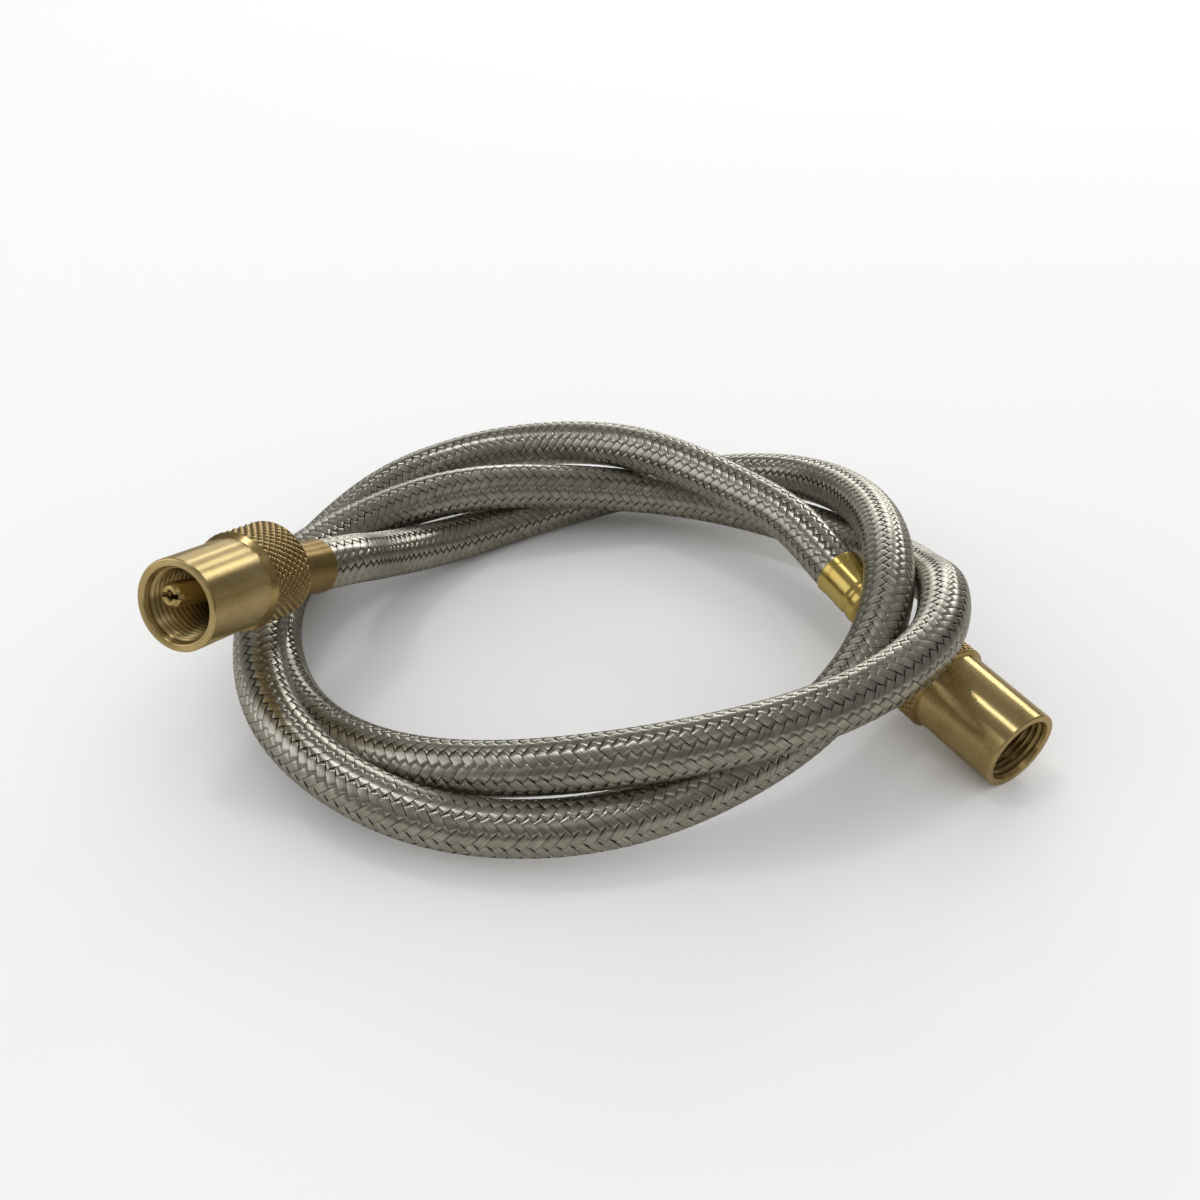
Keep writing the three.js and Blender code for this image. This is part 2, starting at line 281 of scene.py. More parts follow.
def brass_material(name, base, dark, light, rough, turned=1.0, knurled=False):
    mat, nt, p = new_material(name)
    L = nt.links.new
    uv = node(nt, "ShaderNodeUVMap", uv_map="surface")
    sep = node(nt, "ShaderNodeSeparateXYZ")
    L(uv.outputs[0], sep.inputs[0])
    obj = node(nt, "ShaderNodeTexCoord")
    # tool marks: fine rings round the axis, coarse ones and hair-fine ones
    def rings(around, along, detail):
        comb = node(nt, "ShaderNodeCombineXYZ")
        L(maths(nt, "MULTIPLY", sep.outputs[0], around), comb.inputs[0])
        L(maths(nt, "MULTIPLY", sep.outputs[1], along), comb.inputs[1])
        n = node(nt, "ShaderNodeTexNoise", inputs={"Scale": 1.0, "Detail": detail, "Roughness": 0.7})
        L(comb.outputs[0], n.inputs["Vector"])
        return n.outputs[0]

    marks = rings(3.0, 9.0, 5.0)
    broad = rings(2.0, 1.7, 3.0)
    # tarnish: faint soft clouds over the whole piece
    cloud = node(nt, "ShaderNodeTexNoise", inputs={"Scale": 120.0, "Detail": 5.0, "Roughness": 0.65})
    L(obj.outputs["Object"], cloud.inputs["Vector"])
    speck = node(nt, "ShaderNodeTexNoise", inputs={"Scale": 1500.0, "Detail": 2.0, "Roughness": 0.5})
    L(obj.outputs["Object"], speck.inputs["Vector"])
    tone = maths(nt, "ADD", maths(nt, "MULTIPLY", cloud.outputs[0], 0.62), maths(nt, "MULTIPLY", broad, 0.38 if turned else 0.0))
    if not turned:
        tone = cloud.outputs[0]
    col = ramp(nt, tone, [(0.30, dark), (0.50, base), (0.72, light)])
    fleck = ramp(nt, speck.outputs[0], [(0.33, (1.0, 1.0, 1.0, 1.0)), (0.45, (0.0, 0.0, 0.0, 1.0))])
    col = mix_colour(nt, maths(nt, "MULTIPLY", fleck, 0.10), col, dark)
    # painted shade: where the relief is low (the knurl's valleys, the thread's grooves, and a whole bore lowered by its
    # nut) the brass is mixed towards a deeper colour
    shade_relief_node = node(nt, "ShaderNodeAttribute", attribute_name="shade_relief")
    painted_hollow_shade = maths(nt, "POWER", maths(nt, "SUBTRACT", 1.0, shade_relief_node.outputs["Fac"], clamp=True), 1.5)
    hollow_shade_colour = tuple(c * (0.30 if knurled else 0.42) for c in dark[:3]) + (1.0,)
    col = mix_colour(nt, maths(nt, "MULTIPLY", painted_hollow_shade, 0.75 if knurled else 0.75), col, hollow_shade_colour)
    L(col, p.inputs["Base Color"])
    p.inputs["Metallic"].default_value = 1.0
    r = maths(nt, "MULTIPLY_ADD", cloud.outputs[0], 0.14)
    r.node.inputs[2].default_value = rough - 0.07
    r2 = maths(nt, "MULTIPLY_ADD", marks, 0.10 * turned)
    L(r, r2.node.inputs[2])
    L(r2, p.inputs["Roughness"])
    if turned:
        # the turned skin smears reflections along the axis and keeps them sharp round it
        p.inputs["Anisotropic"].default_value = 0.85 * turned
        tan = node(nt, "ShaderNodeTangent", direction_type="UV_MAP", uv_map="surface")
        p.inputs["Anisotropic Rotation"].default_value = 0.25
        L(tan.outputs[0], p.inputs["Tangent"])
    b1 = node(nt, "ShaderNodeBump", inputs={"Strength": 0.16 * max(turned, 0.3), "Distance": 0.00004})
    L(marks, b1.inputs["Height"])
    b2 = node(nt, "ShaderNodeBump", inputs={"Strength": 0.05, "Distance": 0.00003})
    L(speck.outputs[0], b2.inputs["Height"])
    L(b1.outputs[0], b2.inputs["Normal"])
    L(b2.outputs[0], p.inputs["Normal"])
    return mat


BRASS = brass_material("brass_turned", srgb(222, 197, 137), srgb(196, 168, 109), srgb(232, 211, 154), 0.23)
BRASS_SATIN = brass_material("brass_satin", srgb(224, 200, 142), srgb(200, 172, 114), srgb(236, 215, 160), 0.26)
BRASS_KNURL = brass_material("brass_knurled", srgb(206, 178, 120), srgb(176, 148, 94), srgb(222, 197, 138), 0.26, turned=0.0, knurled=True)
BRASS_BRIGHT = brass_material("brass_crimped", srgb(240, 214, 128), srgb(224, 194, 104), srgb(248, 228, 150), 0.24)
# darker base colours are painted shade: the left ferrule's brass darkened as if it reflected the dark strands round it;
# the higher roughness is its dull finish
BRASS_DULL_SHADED = brass_material("brass_dull_shaded", srgb(176, 150, 100), srgb(140, 116, 76), srgb(196, 172, 118), 0.34)
BRASS_INNER = brass_material("brass_bored", srgb(214, 188, 124), srgb(178, 150, 94), srgb(228, 204, 140), 0.28, turned=0.6)


def braid_material():
    mat, nt, p = new_material("steel_braid_wire")
    L = nt.links.new
    uv = node(nt, "ShaderNodeUVMap", uv_map="surface")
    sep = node(nt, "ShaderNodeSeparateXYZ")
    L(uv.outputs[0], sep.inputs[0])
    across = maths(nt, "MULTIPLY", sep.outputs[0], 6.0)
    # rounded wires side by side, six in each ribbon
    wires = maths(nt, "ABSOLUTE", maths(nt, "SINE", maths(nt, "MULTIPLY", across, math.pi)))
    wires = maths(nt, "POWER", wires, 0.6)
    which = maths(nt, "FLOOR", across)

    def streak(across_scale, along_scale, detail):
        comb = node(nt, "ShaderNodeCombineXYZ")
        if across_scale:
            L(maths(nt, "MULTIPLY", which, across_scale), comb.inputs[0])
        L(maths(nt, "MULTIPLY", sep.outputs[1], along_scale), comb.inputs[1])
        n = node(nt, "ShaderNodeTexNoise", inputs={"Scale": 1.0, "Detail": detail, "Roughness": 0.6})
        L(comb.outputs[0], n.inputs["Vector"])
        return n.outputs[0]

    each = streak(7.31, 0.35, 2.0)   # one wire against the next
    whole = streak(0.0, 0.45, 2.0)   # one float against the next
    obj = node(nt, "ShaderNodeTexCoord")
    cloud = node(nt, "ShaderNodeTexNoise", inputs={"Scale": 45.0, "Detail": 3.0, "Roughness": 0.55})
    L(obj.outputs["Object"], cloud.inputs["Vector"])
    tone = maths(nt, "ADD", maths(nt, "MULTIPLY", each, 0.44), maths(nt, "MULTIPLY", cloud.outputs[0], 0.16))
    tone = maths(nt, "ADD", tone, maths(nt, "MULTIPLY", whole, 0.40))
    col = ramp(nt, tone, [(0.32, srgb(166, 164, 153)), (0.5, srgb(203, 200, 188)), (0.68, srgb(238, 235, 224))])
    # painted shade in the crevices between the wires
    wire_gap_shade = maths(nt, "SUBTRACT", 1.0, wires, clamp=True)
    col = mix_colour(nt, maths(nt, "MULTIPLY", wire_gap_shade, 0.55), col, srgb(66, 65, 60))
    # painted shade: the outline of each ribbon and the dips under its neighbours are darkened
    ribbon_edge_shade = maths(nt, "ABSOLUTE", maths(nt, "SUBTRACT", sep.outputs[0], 0.5))
    ribbon_edge_shade = maths(nt, "MULTIPLY_ADD", ribbon_edge_shade, 15.0)
    ribbon_edge_shade.node.inputs[2].default_value = -6.5
    ribbon_edge_shade.node.use_clamp = True
    col = mix_colour(nt, maths(nt, "MULTIPLY", ribbon_edge_shade, 0.95), col, srgb(24, 24, 22))
    # painted shade where a ribbon dips under its neighbours
    lift = node(nt, "ShaderNodeAttribute", attribute_name="lift")
    dip_shade = maths(nt, "MULTIPLY_ADD", lift.outputs["Fac"], -0.9)
    dip_shade.node.inputs[2].default_value = 0.1
    dip_shade.node.use_clamp = True
    col = mix_colour(nt, maths(nt, "MULTIPLY", dip_shade, 0.7), col, srgb(40, 40, 37))
    L(col, p.inputs["Base Color"])
    p.inputs["Metallic"].default_value = 1.0
    r = maths(nt, "MULTIPLY_ADD", each, 0.10)
    r.node.inputs[2].default_value = 0.235
    L(r, p.inputs["Roughness"])
    p.inputs["Anisotropic"].default_value = 0.60
    tan = node(nt, "ShaderNodeTangent", direction_type="UV_MAP", uv_map="surface")
    L(tan.outputs[0], p.inputs["Tangent"])
    b = node(nt, "ShaderNodeBump", inputs={"Strength": 0.20, "Distance": 0.00008})
    L(wires, b.inputs["Height"])
    L(b.outputs[0], p.inputs["Normal"])
    return mat


def rubber_material(name, base, rough=0.62):
    mat, nt, p = new_material(name)
    L = nt.links.new
    obj = node(nt, "ShaderNodeTexCoord")
    n1 = node(nt, "ShaderNodeTexNoise", inputs={"Scale": 420.0, "Detail": 4.0, "Roughness": 0.6})
    L(obj.outputs["Object"], n1.inputs["Vector"])
    L(ramp(nt, n1.outputs[0], [(0.3, tuple(c * 0.7 for c in base[:3]) + (1.0,)), (0.7, base)]), p.inputs["Base Color"])
    p.inputs["Roughness"].default_value = rough
    b = node(nt, "ShaderNodeBump", inputs={"Strength": 0.2, "Distance": 0.00005})
    L(n1.outputs[0], b.inputs["Height"])
    L(b.outputs[0], p.inputs["Normal"])
    return mat


BRAID = braid_material()
RUBBER = rubber_material("rubber_black", srgb(38, 38, 39))


# ------------------------------------------------------------------ hose route
def spline_through(pts):
    """Natural cubic spline through points, as a function of chord length."""
    P = np.asarray(pts, float)
    t = np.r_[0, np.cumsum(np.linalg.norm(np.diff(P, axis=0), axis=1))]
    n = len(P)
    h = np.diff(t)
    A = np.zeros((n, n))
    rhs = np.zeros((n, 3))
    A[0, 0] = A[-1, -1] = 1.0
    for i in range(1, n - 1):
        A[i, i - 1], A[i, i], A[i, i + 1] = h[i - 1], 2 * (h[i - 1] + h[i]), h[i]
        rhs[i] = 6 * ((P[i + 1] - P[i]) / h[i] - (P[i] - P[i - 1]) / h[i - 1])
    M = np.linalg.solve(A, rhs)

    def f(x):
        x = np.asarray(x, float)
        i = np.clip(np.searchsorted(t, x, side="right") - 1, 0, n - 2)
        a = (t[i + 1] - x)[:, None]
        b = (x - t[i])[:, None]
        hh = h[i][:, None]
        return (M[i] * a**3 + M[i + 1] * b**3) / (6 * hh) + (P[i] / hh - M[i] * hh / 6) * a + (P[i + 1] / hh - M[i + 1] * hh / 6) * b

    return f, t[-1]


TUCK = 1.6  # braid runs on under each ferrule's lip
left_in = np.array(LEFT_END) + unit(LEFT_DIR) * TUCK
right_in = np.array(RIGHT_END) + unit(RIGHT_DIR) * TUCK
curve_f, curve_len = spline_through([tuple(left_in)] + ROUTE + [tuple(right_in)])
NS = 4600
line = curve_f(np.linspace(0, curve_len, NS))
s_at = np.r_[0, np.cumsum(np.linalg.norm(np.diff(line, axis=0), axis=1))]
HOSE_LEN = float(s_at[-1])
uniform = np.linspace(0, HOSE_LEN, NS)
line = np.stack([np.interp(uniform, s_at, line[:, k]) for k in range(3)], 1)
tangent = np.gradient(line, axis=0)
tangent /= np.linalg.norm(tangent, axis=1)[:, None]
# frames carried along the hose without twist
normal = np.zeros_like(line)
seed = np.array((0.0, 0.0, 1.0))
normal[0] = unit(seed - tangent[0] * (seed @ tangent[0]))
for i in range(1, NS):
    v = normal[i - 1] - tangent[i] * (normal[i - 1] @ tangent[i])
    normal[i] = v / np.linalg.norm(v)
binormal = np.cross(tangent, normal)
DS = HOSE_LEN / (NS - 1)


def on_hose(s, theta, r):
    """Points at distance s along the hose, angle theta round it, radius r."""
    x = np.clip(s / DS, 0, NS - 1.000001)
    i = x.astype(int)
    f = (x - i)[..., None]
    c = line[i] * (1 - f) + line[i + 1] * f
    nn = normal[i] * (1 - f) + normal[i + 1] * f
    bb = binormal[i] * (1 - f) + binormal[i + 1] * f
    return c + r[..., None] * (np.cos(theta)[..., None] * nn + np.sin(theta)[..., None] * bb)


# ------------------------------------------------------------------ braid
LAY = 31.0          # length of one full turn of a ribbon
CARRIERS = 12       # ribbons each way
PER = 4             # steps from one crossing to the next
ACROSS = 5          # strips across a ribbon
R_MID = 5.72
LIFT = 0.22        # half the height between a ribbon passing over and under
CROWN = 0.05
alpha = math.atan2(2 * math.pi * HOSE_R, LAY)
RIBBON = 2 * math.pi * HOSE_R / CARRIERS * math.cos(alpha) * 1.0


def braid(name):
    crossings = int(math.ceil(HOSE_LEN / LAY * 2 * CARRIERS)) + 2
    x = np.arange(crossings * PER + 1) / PER  # distance along a ribbon, in crossings
    s = (x - 1) * LAY / (2 * CARRIERS)
    u = np.linspace(-1, 1, ACROSS + 1)
    V, F, UV, LF = [], [], [], []
    base = 0
    rng = np.random.default_rng(7)
    for hand in (1, -1):
        for k in range(CARRIERS):
            wob = rng.uniform(-0.03, 0.03)
            # over two and under two; the floats stand in columns along the hose, and hand +1 rises where hand -1 dips
            theta = hand * 2 * math.pi * s / LAY + 2 * math.pi * (k + wob) / CARRIERS
            col = 2 * CARRIERS * theta / (2 * math.pi)      # 24 columns' half steps round the hose
            ph = (col + (0.5 if hand > 0 else 2.5)) % 4.0
            d = np.abs(((ph - 1.0 + 2.0) % 4.0) - 2.0)     # 0 at the middle of an over float, 2 under
            o = np.sin(np.pi / 2 * np.clip((1.0 - d) * 3.2, -1, 1))
            half = RIBBON / 2 * (1.0 + 0.015 * np.sin(x * 0.9 + k))
            S = s[:, None] + (-hand * math.sin(alpha)) * u[None] * half[:, None] * 1.0
            T = theta[:, None] + (math.cos(alpha)) * u[None] * half[:, None] / HOSE_R
            crown = CROWN * (1 - np.abs(u) ** 4.5)
            lift = o[:, None] * np.ones_like(u)[None]
            Rr = R_MID + LIFT * lift + crown[None] * (0.65 + 0.35 * lift)
            P = on_hose(np.clip(S, 0, HOSE_LEN), T, Rr)
            n, w = P.shape[:2]
            V.append(P.reshape(-1, 3))
            LF.append(lift.reshape(-1))
            i, j = np.meshgrid(np.arange(n - 1), np.arange(w - 1), indexing="ij")
            q = np.stack([i * w + j, i * w + j + 1, (i + 1) * w + j + 1, (i + 1) * w + j], -1)
            ua, ub = j / (w - 1), (j + 1) / (w - 1)
            # the clear pitch keeps each ribbon's wires apart in the shader's noise
            off = (k + (0 if hand > 0 else CARRIERS)) * 40.0
            va, vb = i / PER * 0.9 + off, (i + 1) / PER * 0.9 + off
            uvq = np.stack([np.stack([ua, va], -1), np.stack([ub, va], -1), np.stack([ub, vb], -1), np.stack([ua, vb], -1)], 2)
            keep = (s[i] > -1.0) & (s[i + 1] < HOSE_LEN + 1.0)
            if hand > 0:
                q = q[..., ::-1]
                uvq = uvq[..., ::-1, :]
            F.append(q[keep] + base)
            UV.append(uvq[keep].reshape(-1, 2))
            base += n * w
    ob = make(name, np.concatenate(V), np.concatenate(F), BRAID, uvs=np.concatenate(UV), attrs={"lift": np.concatenate(LF)})
    return ob


braid_ob = braid("braid_sleeve")
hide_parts("hose_braid")
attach(braid_ob, "hose")


def tube_along(name, r_out, r_in, run_left, run_right, mat, sides=28, every=3.2):
    a = np.array(LEFT_END) + unit(LEFT_DIR) * run_left
    b = np.array(RIGHT_END) + unit(RIGHT_DIR) * run_right
    n = int(HOSE_LEN / every)
    s = np.linspace(0, HOSE_LEN, n)
    th = np.linspace(0, 2 * math.pi, sides, endpoint=False)
    rings = []
    for r in (r_out, r_in):
        P = on_hose(np.repeat(s[:, None], sides, 1), np.repeat(th[None], n, 0), np.full((n, sides), r))
        first = P[:1] + (a - left_in)
        last = P[-1:] + (b - right_in)
        rings.append(np.concatenate([first, P, last]))
    n += 2
    V = np.concatenate([rings[0].reshape(-1, 3), rings[1].reshape(-1, 3)])
    i, j = np.meshgrid(np.arange(n - 1), np.arange(sides), indexing="ij")
    j2 = (j + 1) % sides
    outer = np.stack([i * sides + j, i * sides + j2, (i + 1) * sides + j2, (i + 1) * sides + j], -1).reshape(-1, 4)
    inner = outer[:, ::-1] + n * sides
    jj = np.arange(sides)
    k2 = (jj + 1) % sides
    N = n * sides
    cap0 = np.stack([jj, N + jj, N + k2, k2], -1)
    e = (n - 1) * sides
    cap1 = np.stack([e + jj, e + k2, N + e + k2, N + e + jj], -1)
    ob = make(name, V, np.concatenate([outer[:, ::-1], inner[:, ::-1], cap0[:, ::-1], cap1[:, ::-1]]), mat, sharp=40)
    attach(ob, "hose")
    return ob


liner_ob = tube_along("gas_tube", 5.28, 3.0, LEFT_FERRULE_LEN - 3.1, RIGHT_FERRULE_LEN - 3.1, RUBBER)
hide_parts("hose_liner")


# ------------------------------------------------------------------ ferrules
def ferrule(side, origin, direction, mat):
    F = LEFT_FERRULE_LEN if side == "left" else RIGHT_FERRULE_LEN
    R = 6.15
    prof = [(5.35, 2.2), (6.0, 1.9), (6.0, 0.5)]
    if side == "left":
        # plain crimped sleeve, its edge broken all round
        prof += arc(6.08, 0.42, 0.1, 180, 270, 4)[1:] + arc(R - 0.04, 0.52, 0.2, 270, 360, 5)[1:]
        prof += [(R + 0.16, 1.0), (R + 0.1, 2.2), (R, 3.4), (R, F - 1.4)]
        prof += arc(R - 1.0, F - 1.3, 1.0, 8, 75, 8)
        prof += [(4.6, F), (3.0, F), (3.0, F - 2.0), (5.35, F - 2.0)]
    else:
        prof += arc(6.08, 0.42, 0.1, 180, 270, 4)[1:] + arc(R - 0.04, 0.52, 0.2, 270, 360, 5)[1:]
        prof += [(R + 0.16, 1.0), (R + 0.1, 2.0), (R - 0.05, 2.8), (R - 0.05, F - 5.0)]
        prof += [(R - 0.12, F - 4.7), (R - 0.42, F - 4.35), (R - 0.5, F - 4.0), (R - 0.5, F - 3.5), (R - 0.36, F - 3.2)]
        prof += arc(R - 0.45, F - 2.6, 0.48, 285, 360, 5) + [(R + 0.03, F - 1.7)]
        prof += arc(R - 1.1, F - 1.35, 1.1, 10, 75, 8)
        prof += [(4.6, F), (3.0, F), (3.0, F - 2.0), (5.35, F - 2.0)]
    ob = revolve(side + "_crimp_ferrule", prof, 96, origin, direction, mat, step=0.6)
    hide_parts(side + "_ferrule")
    return ob


# ------------------------------------------------------------------ stems
def stem(side, origin, direction, wall_at, ferrule_len, socket, nozzle):
    fb = wall_at + 2.25
    ff = fb + 2.5
    sh = ferrule_len + 0.3
    prof = [(1.6, 0.8), (2.1, 0.8), (2.6, 3.4), (2.25, 3.7), (2.6, 6.6), (2.25, 6.9), (2.6, 9.8), (2.6, sh)]
    prof += [(4.1, sh)] + arc(4.15, sh + 0.25, 0.25, -90, 0, 4) + [(4.4, sh + 1.0)] + arc(3.9, sh + 1.0, 0.5, 0, 50, 4)
    prof += [(3.5, sh + 1.9), (3.5, fb - 0.4)] + arc(3.9, fb - 0.4, 0.4, 180, 90, 4)
    prof += [(6.05, fb)] + arc(6.05, fb + 0.25, 0.25, -90, 0, 4) + arc(6.05, ff - 0.25, 0.25, 0, 90, 4)
    if socket:
        prof += [(2.6, ff), (2.6, ff - socket), (1.6, ff - socket)]
    else:
        prof += [(2.7, ff), (2.7, ff + nozzle - 0.5), (2.2, ff + nozzle), (1.85, ff + nozzle), (1.6, ff + nozzle - 0.25)]
    ob = revolve(side + "_hose_stem", prof, 72, origin, direction, BRASS_INNER, step=1.2)
    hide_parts(side + "_stem")
    return ob


def washer(side, origin, direction, wall_at):
    b = wall_at + 2.25 + 2.5 + 0.3
    prof = [(3.2, b + 0.25)] + arc(3.45, b + 0.25, 0.25, 180, 270, 4) + arc(5.6, b + 0.4, 0.4, 270, 360, 5)
    prof += arc(5.6, b + 1.6, 0.4, 0, 90, 5) + arc(3.45, b + 1.75, 0.25, 90, 180, 4)
    ob = revolve(side + "_gasket", prof, 64, origin, direction, RUBBER)
    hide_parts(side + "_seal_washer")
    return ob


# ------------------------------------------------------------------ probe
def cut_with(ob, tool):
    mod = ob.modifiers.new("cut", "BOOLEAN")
    mod.operation = "DIFFERENCE"
    mod.solver = "EXACT"
    mod.object = tool
    bpy.context.view_layer.update()
    dg = bpy.context.evaluated_depsgraph_get()
    me = bpy.data.meshes.new_from_object(ob.evaluated_get(dg))
    ob.modifiers.clear()
    old = ob.data
    ob.data = me
    bpy.data.meshes.remove(old)
    tm = tool.data
    bpy.data.objects.remove(tool)
    bpy.data.meshes.remove(tm)


def probe():
    seat = LEFT_WALL_AT + 2.25 + 2.5 + 0.3
    foot = seat - 6.0
    tip = LEFT_TIP_AT
    prof = [(1.0, foot), (2.3, foot), (2.3, seat), (2.6, seat), (2.7, seat + 0.1)]
    prof += [(2.7, tip - 0.75)] + arc(2.55, tip - 0.75, 0.15, 0, 40, 3) + [(2.05, tip - 0.06)] + arc(1.98, tip - 0.1, 0.1, 50, 90, 3)
    prof += [(1.3, tip), (1.0, tip - 0.3)]
    ob = revolve("left_slotted_probe", prof, 72, LEFT_END, LEFT_DIR, BRASS_INNER, step=1.5)
    B = basis(LEFT_DIR)
    o = np.array(LEFT_END)
    a = math.radians(99)
    ex = B @ np.array((math.cos(a), math.sin(a), 0))
    ey = B @ np.array((-math.sin(a), math.cos(a), 0))
    ez = B[:, 2]
    c = o + ez * tip
    V = [c + ex * x * 0.5 + ey * y * 4.0 + ez * z for x in (-1, 1) for y in (-1, 1) for z in (-1.6, 1.5)]
    Fq = [(0, 1, 3, 2), (4, 6, 7, 5), (0, 4, 5, 1), (2, 3, 7, 6), (0, 2, 6, 4), (1, 5, 7, 3)]
    tool = make("slot_tool", V, Fq, BRASS_INNER, smooth=False)
    cut_with(ob, tool)
    ob.data.set_sharp_from_angle(angle=math.radians(30))
    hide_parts("left_probe")
    return ob


# ------------------------------------------------------------------ coupling nuts
KNURL_N = 40        # diamonds round the band
KNURL_PITCH = 2.15  # from one diamond to the next along the axis
KNURL_DEEP = 0.38
BAND_R = 11.0
NOSE_R = 9.9
THREAD_PITCH = 1.411


def tri(x):
    """Triangle wave, 0 at whole numbers, 1 half way between them."""
    return 1.0 - np.abs(2.0 * (x - np.floor(x)) - 1.0)


def nut(side, origin, axis, length, body, band_len, slope, skin, bore_unshaded):
    L = length
    pz = KNURL_PITCH
    z_lo, z_hi = 0.25, band_len - 0.1

    def knurl(r, z, t):
        inside = np.clip(np.minimum(z - z_lo, z_hi - z) / 0.3, 0, 1) * (r > BAND_R - 0.3) * (z > z_lo) * (z < z_hi)
        a = t * KNURL_N / (2 * math.pi)
        g1 = 0.5 - 0.5 * np.cos(2 * math.pi * (a + z / pz))
        g2 = 0.5 - 0.5 * np.cos(2 * math.pi * (a - z / pz))
        h = np.minimum((g1 * g2) ** 0.55 * 1.08, 1.0)
        # the second value is the relief: low in the knurl's valleys, where the shader paints shade
        return (h - 1.0) * KNURL_DEEP * inside, np.where(inside > 0, h * inside + (1 - inside), 1.0)

    band = [(5.2, 0.3), (5.5, 0.0), (BAND_R - 0.95, 0.0)] + arc(BAND_R - 0.7, 0.7, 0.7, 290, 350, 5) + [(BAND_R, 0.9)]
    n_z = int(band_len * 7)
    band += [(BAND_R, z) for z in np.linspace(0.9, band_len - 0.15, n_z)[1:]]
    band += [(BAND_R - 0.1, band_len)]
    n_s = 5
    band += [(BAND_R - 0.1 + (NOSE_R + 0.12 - BAND_R) * k / n_s, band_len + slope * k / n_s) for k in range(1, n_s + 1)]
    band += [(9.2, band_len + slope), (9.2, 4.0), (8.6, 3.0), (5.2, 2.5)]
    # the band and the nose are one piece of brass: the knurled skin closes on a hidden ring inside it
    ob1 = revolve(side + "_knurled_band", band, KNURL_N * 10, origin, axis, BRASS_KNURL, bump=knurl, sharp=50, body=body)
    # nose with its bore: thread starting just inside the mouth, every edge broken
    nose = [(9.3, band_len + slope - 0.2), (NOSE_R + 0.02, band_len + slope - 0.02), (NOSE_R, band_len + slope + 0.25)]
    nose += [(NOSE_R, L - 0.45)] + arc(NOSE_R - 0.42, L - 0.42, 0.42, 0, 90, 7)
    nose += [(8.45, L)] + arc(8.45, L - 0.28, 0.28, 90, 165, 4)[1:] + [(8.10, L - 0.5), (8.02, L - 0.85), (7.95, L - 1.0)]
    t0, t1 = 8.6, L - 1.0
    nz = int((t1 - t0) / THREAD_PITCH * 10)
    nose += [(7.95, z) for z in np.linspace(t1, t0, nz)[1:]]
    nose += [(7.95, 2.5), (5.2, 2.5), (5.2, 2.2), (8.6, 2.2), (9.3, 3.2)]

    def thread(r, z, t):
        w = np.clip(np.minimum(z - t0, t1 - z) / 0.9, 0, 1) * (np.abs(r - 7.95) < 1e-3) * (z > t0) * (z < t1)
        g = tri(z / THREAD_PITCH - t / (2 * math.pi))
        h = np.clip(g * 1.25 - 0.125, 0, 1)
        # the second value is the relief: low in the thread's grooves and lowered over the whole bore past the mouth by
        # the nut's bore factor; the shader paints shade where it is low
        return -0.65 * h * w, np.where(z > L - 0.9, 1.0, np.where(r < 8.7, (0.05 + 0.95 * np.where(w > 0, h, 1.0)) * bore_unshaded, 1.0))

    ob2 = revolve(side + "_nut_nose", nose, 144, origin, axis, skin, bump=thread, sharp=38, body=body)
    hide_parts(side + "_coupling_nut")
    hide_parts(side + "_coupling_nut")
    return ob1, ob2


lf = ferrule("left", LEFT_END, LEFT_DIR, BRASS_DULL_SHADED)
ls = stem("left", LEFT_END, LEFT_DIR, LEFT_WALL_AT, LEFT_FERRULE_LEN, 6.0, 0)
lw = washer("left", LEFT_END, LEFT_DIR, LEFT_WALL_AT)
lp = probe()
ln1, ln2 = nut("left", LEFT_NUT_AT, LEFT_NUT_AXIS, LEFT_NUT_LEN, "left_nut", 12.2, 1.2, BRASS_SATIN, 1.0)
rf = ferrule("right", RIGHT_END, RIGHT_DIR, BRASS_BRIGHT)
rs = stem("right", RIGHT_END, RIGHT_DIR, RIGHT_WALL_AT, RIGHT_FERRULE_LEN, 0, 4.5)
rw = washer("right", RIGHT_END, RIGHT_DIR, RIGHT_WALL_AT)
# the right nut's bore factor of 0.18 paints heavy shade over its whole bore
rn1, rn2 = nut("right", RIGHT_NUT_AT, RIGHT_NUT_AXIS, RIGHT_NUT_LEN, "right_nut", 10.9, 0.5, BRASS, 0.18)

# ------------------------------------------------------------------ floor and light
WORLD_STRENGTH = 1.0
SOFTBOXES = [
    # name, azimuth, elevation, distance, width, height, radiance
    ("window", 32.0, 21.0, 1.6, 0.24, 0.50, 5.2, (1.0, 0.99, 0.96)),
    ("strip_middle", 13.0, 21.0, 1.6, 0.20, 0.50, 3.6, (1.0, 0.99, 0.96)),
    ("strip_left", -5.0, 13.0, 1.6, 0.12, 0.60, 2.8, (1.0, 0.99, 0.96)),
    ("back_wall", 4.0, 13.0, 1.9, 1.8, 0.85, 0.95, (1.0, 0.99, 0.96)),
    ("overhead", -68.0, 72.0, 1.5, 0.24, 0.24, 9.0),
    ("left_panel", -101.0, 22.0, 1.6, 0.9, 1.1, 1.1),
    ("front_fill", 170.0, 55.0, 1.8, 0.8, 0.4, 0.6),
]


def floor():
    n = 64
    th = np.linspace(0, 2 * math.pi, n, endpoint=False)
    V = [(0.0, 0.0, 0.0)] + [(9000 * math.cos(a), 9000 * math.sin(a), 0.0) for a in th]
    Fq = [(0, 1 + i, 1 + (i + 1) % n) for i in range(n)]
    mat, nt, p = new_material("floor_white")
    path = node(nt, "ShaderNodeLightPath")
    # painted reflection: the floor is near white to the camera but a dim brown in the metal's reflections
    floor_dimmed_in_reflections = mix_colour(nt, path.outputs["Is Glossy Ray"], (0.93, 0.93, 0.93, 1.0), (0.45, 0.43, 0.39, 1.0))
    nt.links.new(floor_dimmed_in_reflections, p.inputs["Base Color"])
    p.inputs["Roughness"].default_value = 0.95
    p.inputs["Specular IOR Level"].default_value = 0.1
    ob = make("floor", V, Fq, mat, smooth=False)


floor()

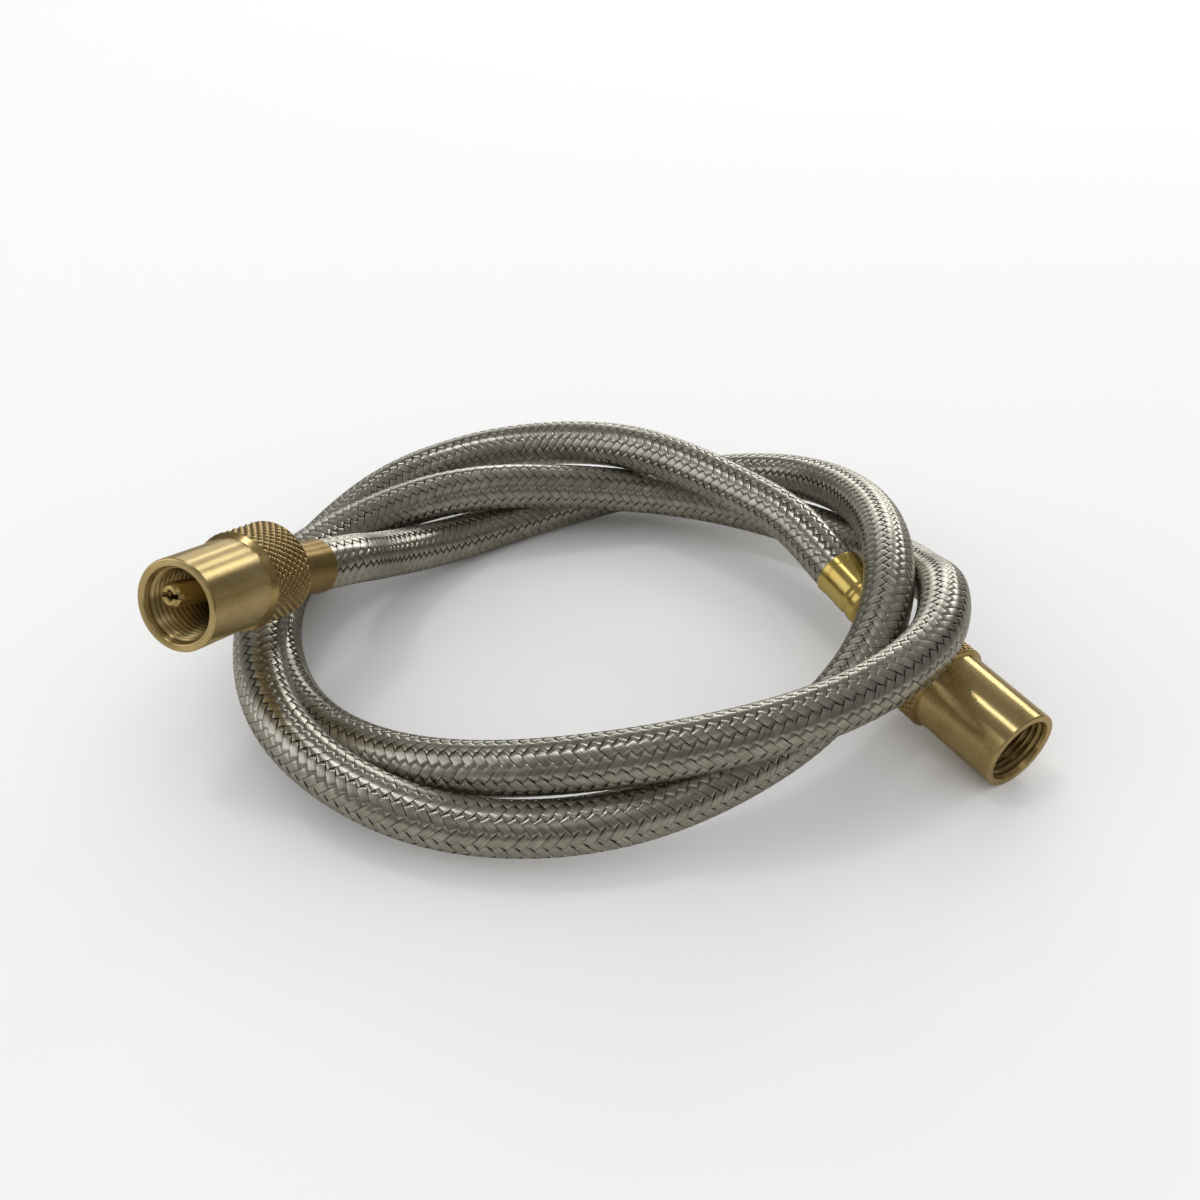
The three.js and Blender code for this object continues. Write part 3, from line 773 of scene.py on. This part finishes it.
world = bpy.data.worlds.new("studio")
bpy.context.scene.world = world
world.use_nodes = True
wt = world.node_tree
bg = wt.nodes.get("Background")
way = wt.nodes.new("ShaderNodeTexCoord")
up = wt.nodes.new("ShaderNodeSeparateXYZ")
wt.links.new(way.outputs["Generated"], up.inputs[0])
half = wt.nodes.new("ShaderNodeMath")
half.operation = "MULTIPLY_ADD"
half.inputs[1].default_value = 0.5
half.inputs[2].default_value = 0.5
wt.links.new(up.outputs[2], half.inputs[0])
sky = wt.nodes.new("ShaderNodeValToRGB")
e = sky.color_ramp.elements
e[0].position, e[0].color = 0.0, (0.10, 0.09, 0.08, 1.0)
e[1].position, e[1].color = 1.0, (0.21, 0.205, 0.195, 1.0)
for pos, c in ((0.5, (0.09, 0.085, 0.075, 1.0)), (0.62, (0.13, 0.125, 0.115, 1.0)), (0.80, (0.17, 0.165, 0.155, 1.0))):
    x = e.new(pos)
    x.color = c
wt.links.new(half.outputs[0], sky.inputs[0])
# the metal sees a dim room, while the floor gets even light from all sides
path = wt.nodes.new("ShaderNodeLightPath")
mix = wt.nodes.new("ShaderNodeMix")
mix.data_type = "RGBA"
wt.links.new(path.outputs["Is Glossy Ray"], mix.inputs[0])
mix.inputs[6].default_value = (0.80, 0.80, 0.80, 1.0)
wt.links.new(sky.outputs[0], mix.inputs[7])
wt.links.new(mix.outputs[2], bg.inputs[0])
bg.inputs[1].default_value = WORLD_STRENGTH


def softbox(name, azimuth, elevation, distance, width, height, radiance, colour=(1.0, 1.0, 1.0)):
    """An area light seen from the coil at an azimuth right of the camera's way ahead and an elevation; width and height in metres."""
    fw = Vector((CAM_FWD[0], CAM_FWD[1], 0)).normalized()
    rt = Vector((fw.y, -fw.x, 0))
    a, e = math.radians(azimuth), math.radians(elevation)
    way = rt * math.sin(a) * math.cos(e) + fw * math.cos(a) * math.cos(e) + Vector((0, 0, math.sin(e)))
    d = bpy.data.lights.new(name, "AREA")
    d.shape = "RECTANGLE"
    d.size, d.size_y = width, height
    d.energy = radiance * width * height * math.pi
    d.color = colour
    o = bpy.data.objects.new(name, d)
    o.location = way * distance + Vector((0, 0, 0.02))
    o.rotation_euler = (-way).to_track_quat("-Z", "Y").to_euler()
    bpy.context.scene.collection.objects.link(o)
    return o


for spec in SOFTBOXES:
    softbox(*spec)

bpy.context.scene.view_settings.view_transform = "Standard"
